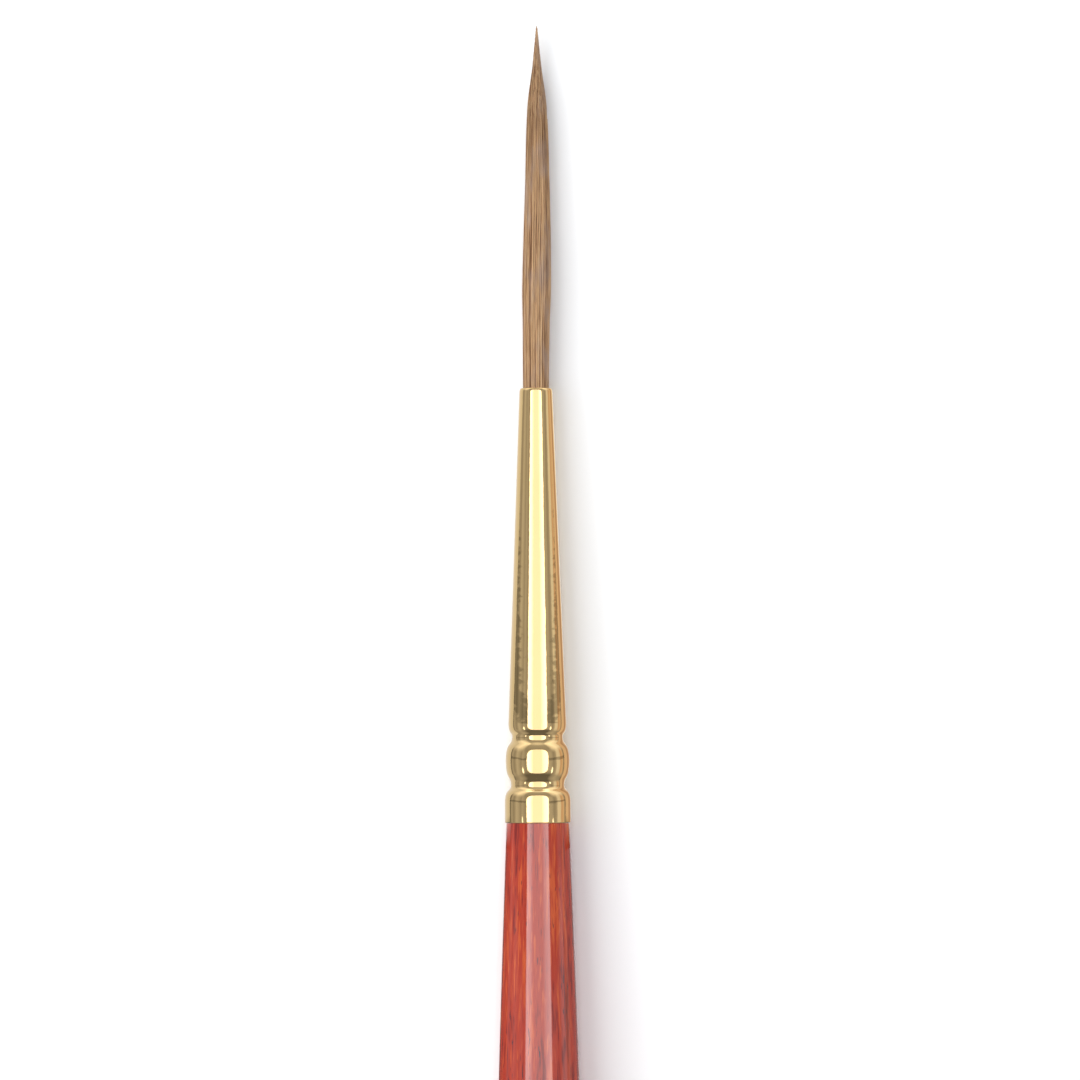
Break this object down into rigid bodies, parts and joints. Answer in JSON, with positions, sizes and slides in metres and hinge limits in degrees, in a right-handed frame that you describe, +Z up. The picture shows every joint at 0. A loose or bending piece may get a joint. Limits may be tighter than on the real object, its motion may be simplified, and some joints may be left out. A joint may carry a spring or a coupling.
{
  "type": "fine detail brush",
  "caption": "Slender pointed hair tuft in a tapered, crimped brass ferrule on a turned, stained and lacquered wooden handle, for painting fine lines and details.",
  "frame": {"origin": "on the surface the brush lies on, under the middle of its length", "axes": "+Y along the brush towards the hair's point, +X to the right seen from above, +Z up; the brush's own axis dips 1.6 degrees towards the point, because it rests on the ferrule's collar and the handle's belly"},
  "size_m": [0.0072, 0.1754, 0.0075],
  "materials": {
    "stained_wood": "red-orange stain under clear gloss lacquer",
    "gilded_brass": "polished, gold plated",
    "soft_hair": "fine brown hair, lying straight",
    "binding_thread": "waxed thread",
    "cured_resin": "clear amber resin",
    "wood_glue": "dried glue"
  },
  "bodies": {
    "handle_and_ferrule": {"handle": "stained_wood", "ferrule": "gilded_brass", "tenon_glue": "wood_glue", "root_resin": "cured_resin", "root_thread": "binding_thread", "hair_root": "soft_hair"},
    "heel": {"hair_heel": "soft_hair"},
    "lower_belly": {"hair_lower_belly": "soft_hair"},
    "upper_belly": {"hair_upper_belly": "soft_hair"},
    "waist": {"hair_waist": "soft_hair"},
    "taper": {"hair_taper": "soft_hair"},
    "point": {"hair_point": "soft_hair"}
  },
  "joints": [
    {"name": "side_bend_rear", "type": "hinge", "parent": "handle_and_ferrule", "child": "heel", "pos_m": [0, 0.06313, 0.00152], "axis": [0, 0.0285, 0.9996], "range_deg": [-20, 20], "stiffness_Nm_per_rad": 0.0008},
    {"name": "lift_bend_rear", "type": "hinge", "parent": "heel", "child": "lower_belly", "pos_m": [0, 0.06713, 0.0014], "axis": [1, 0, 0], "range_deg": [0, 20], "stiffness_Nm_per_rad": 0.0007},
    {"name": "side_bend_middle", "type": "hinge", "parent": "lower_belly", "child": "upper_belly", "pos_m": [0, 0.07113, 0.00129], "axis": [0, 0.0285, 0.9996], "range_deg": [-20, 20], "stiffness_Nm_per_rad": 0.00055},
    {"name": "lift_bend_middle", "type": "hinge", "parent": "upper_belly", "child": "waist", "pos_m": [0, 0.07513, 0.00118], "axis": [1, 0, 0], "range_deg": [0, 20], "stiffness_Nm_per_rad": 0.00045},
    {"name": "side_bend_front", "type": "hinge", "parent": "waist", "child": "taper", "pos_m": [0, 0.07913, 0.00106], "axis": [0, 0.0285, 0.9996], "range_deg": [-20, 20], "stiffness_Nm_per_rad": 0.0003},
    {"name": "lift_bend_front", "type": "hinge", "parent": "taper", "child": "point", "pos_m": [0, 0.08313, 0.00095], "axis": [1, 0, 0], "range_deg": [0, 20], "stiffness_Nm_per_rad": 0.00015}
  ]
}
